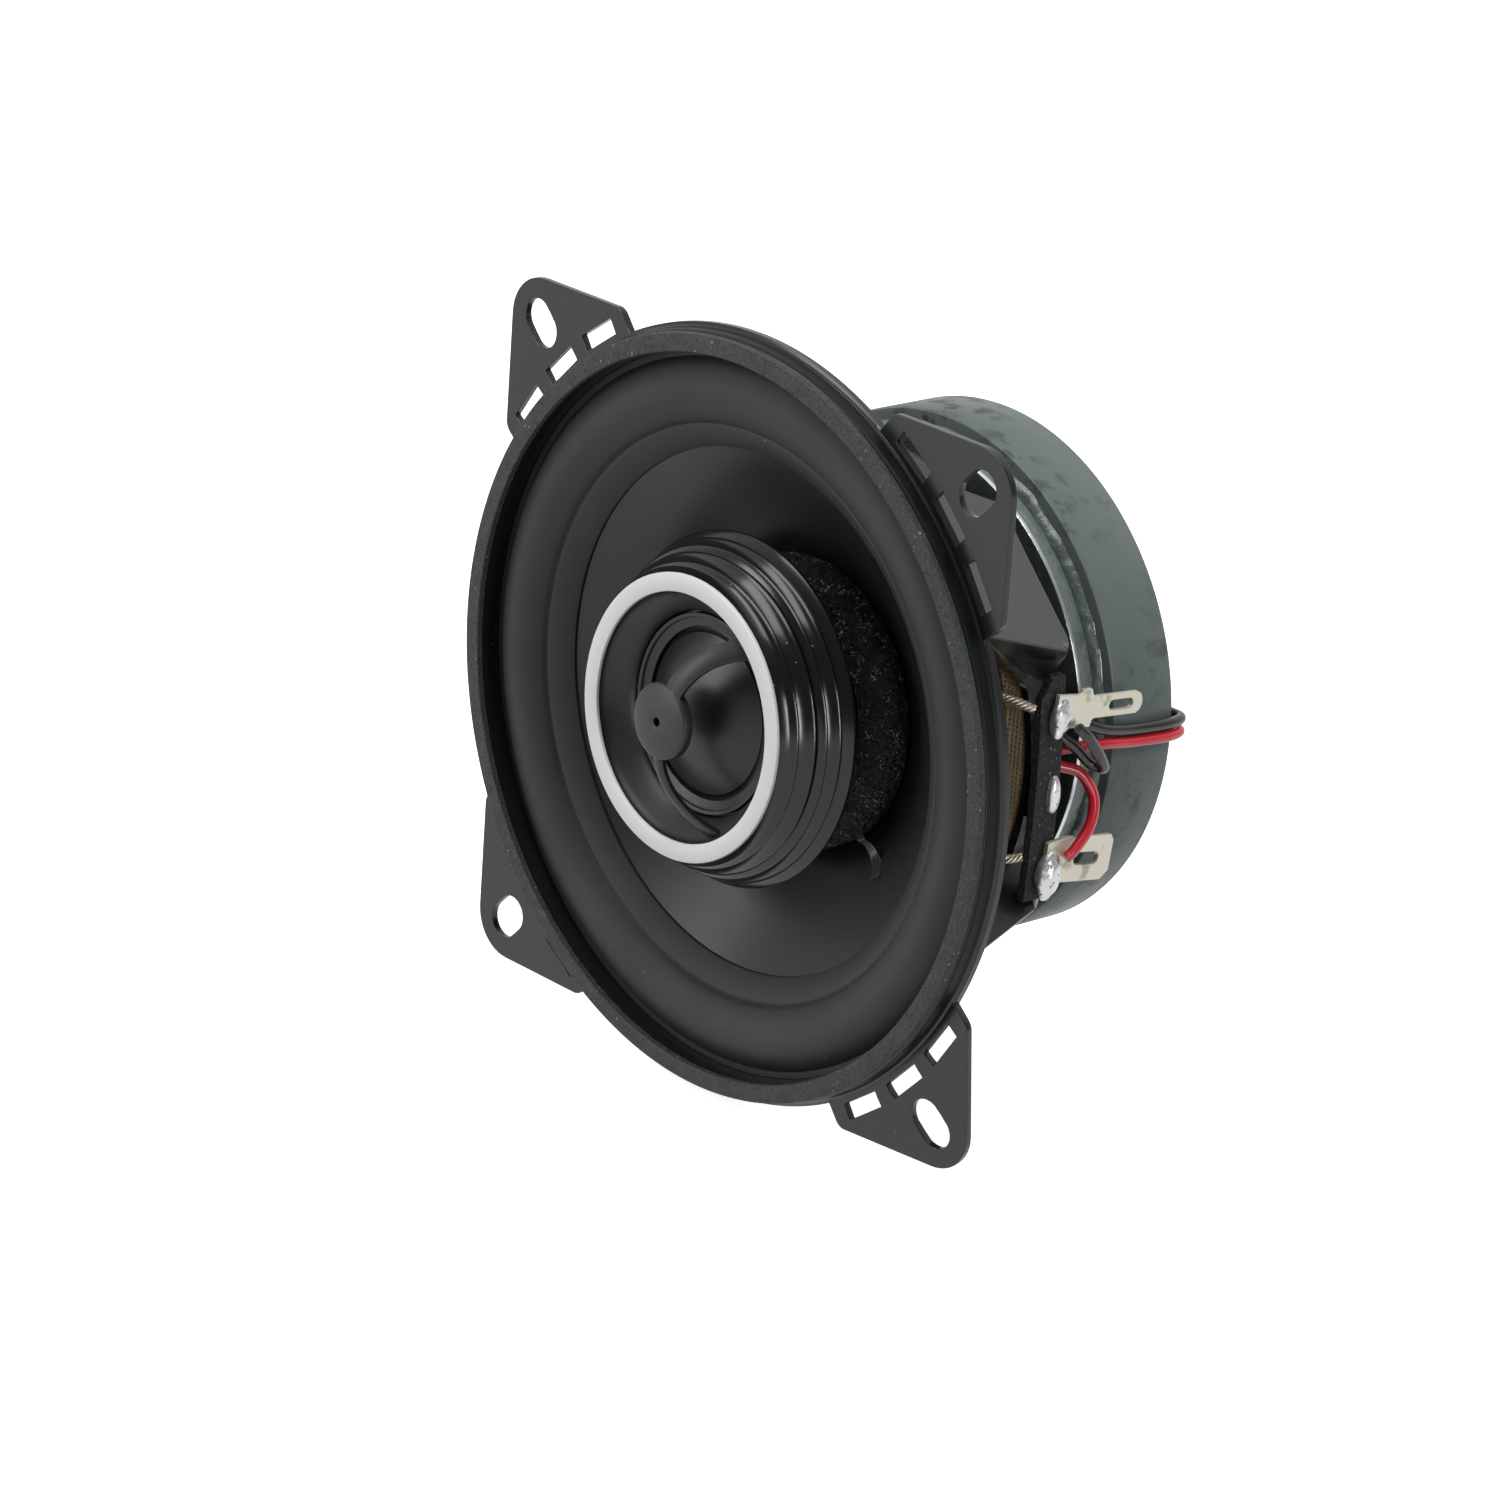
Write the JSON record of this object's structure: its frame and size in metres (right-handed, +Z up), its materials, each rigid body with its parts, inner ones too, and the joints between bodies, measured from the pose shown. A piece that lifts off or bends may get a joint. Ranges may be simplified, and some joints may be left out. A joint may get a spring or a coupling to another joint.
{
  "type": "coaxial car speaker",
  "caption": "Round coaxial car loudspeaker: steel basket with four ears, black cone with rubber surround, ferrite motor, and a ribbed dome tweeter on a centre post.",
  "frame": {"origin": "on the woofer's axis, in the plane of the ears' rear faces, which meet the baffle", "axes": "+Y along the woofer's axis into the baffle (sound leaves toward -Y), +Z up, +X toward the terminals"},
  "size_m": [0.104, 0.0651, 0.104],
  "materials": {
    "black_paint": "semi-gloss black paint on pressed steel",
    "gasket_felt": "dark grey stippled cork-rubber",
    "rubber": "matte dark grey rubber",
    "cone": "satin black moulded cone",
    "spider_cloth": "golden brown resin-dipped woven cloth",
    "paper": "brown kraft former",
    "copper": "enamelled copper winding",
    "foam": "black open-cell foam",
    "zinc": "bluish zinc plate with cast texture",
    "ferrite": "grey-green ground ferrite",
    "glue": "clear grey adhesive bead",
    "white_ring": "near-white satin plastic",
    "gloss_black": "glossy black plastic",
    "satin_black": "satin black plastic film and mouldings",
    "nickel": "nickel-plated neodymium",
    "tinned_brass": "tinned brass",
    "fibre": "black vulcanised fibre board",
    "tin": "bright tin-lead solder",
    "black_pvc": "glossy black wire sheath",
    "red_pvc": "glossy red wire sheath",
    "tinsel": "braided tinsel lead"
  },
  "bodies": {
    "frame_assembly": {"basket": "black_paint", "front_gasket": "gasket_felt", "surround": "rubber", "spider": "spider_cloth", "top_plate": "zinc", "magnet": "ferrite", "glue_bead": "glue", "pole_and_back_plate": "zinc", "tweeter_trim_ring": "white_ring", "tweeter_housing": "gloss_black", "tweeter_clamp_ring": "satin_black", "tweeter_suspension": "satin_black", "tweeter_pole_plate": "zinc", "tweeter_magnet": "nickel", "tweeter_yoke": "zinc", "tweeter_bridge": "satin_black", "tweeter_post": "satin_black", "tab_narrow": "tinned_brass", "tab_wide": "tinned_brass", "terminal_board": "fibre", "terminal_rivet": "tin", "lead_black": "black_pvc", "lead_red": "red_pvc", "solder_upper": "tin", "solder_lower": "tin", "tinsel_upper": "tinsel", "tinsel_lower": "tinsel"},
    "cone_assembly": {"cone": "cone", "voice_coil_former": "paper", "voice_coil": "copper", "foam_ring": "foam"},
    "tweeter_diaphragm": {"tweeter_dome": "satin_black", "tweeter_voice_coil": "copper"}
  },
  "joints": [
    {"name": "cone_stroke", "type": "slide", "parent": "frame_assembly", "child": "cone_assembly", "axis": [0, 1, 0], "range_m": [-0.0025, 0.0025], "stiffness_N_per_m": 1500, "deforming": ["surround", "spider", "tinsel_upper", "tinsel_lower"]},
    {"name": "tweeter_stroke", "type": "slide", "parent": "frame_assembly", "child": "tweeter_diaphragm", "axis": [0, 0.9989, -0.0471], "range_m": [-0.0003, 0.0003], "stiffness_N_per_m": 1000, "deforming": ["tweeter_suspension"]}
  ]
}
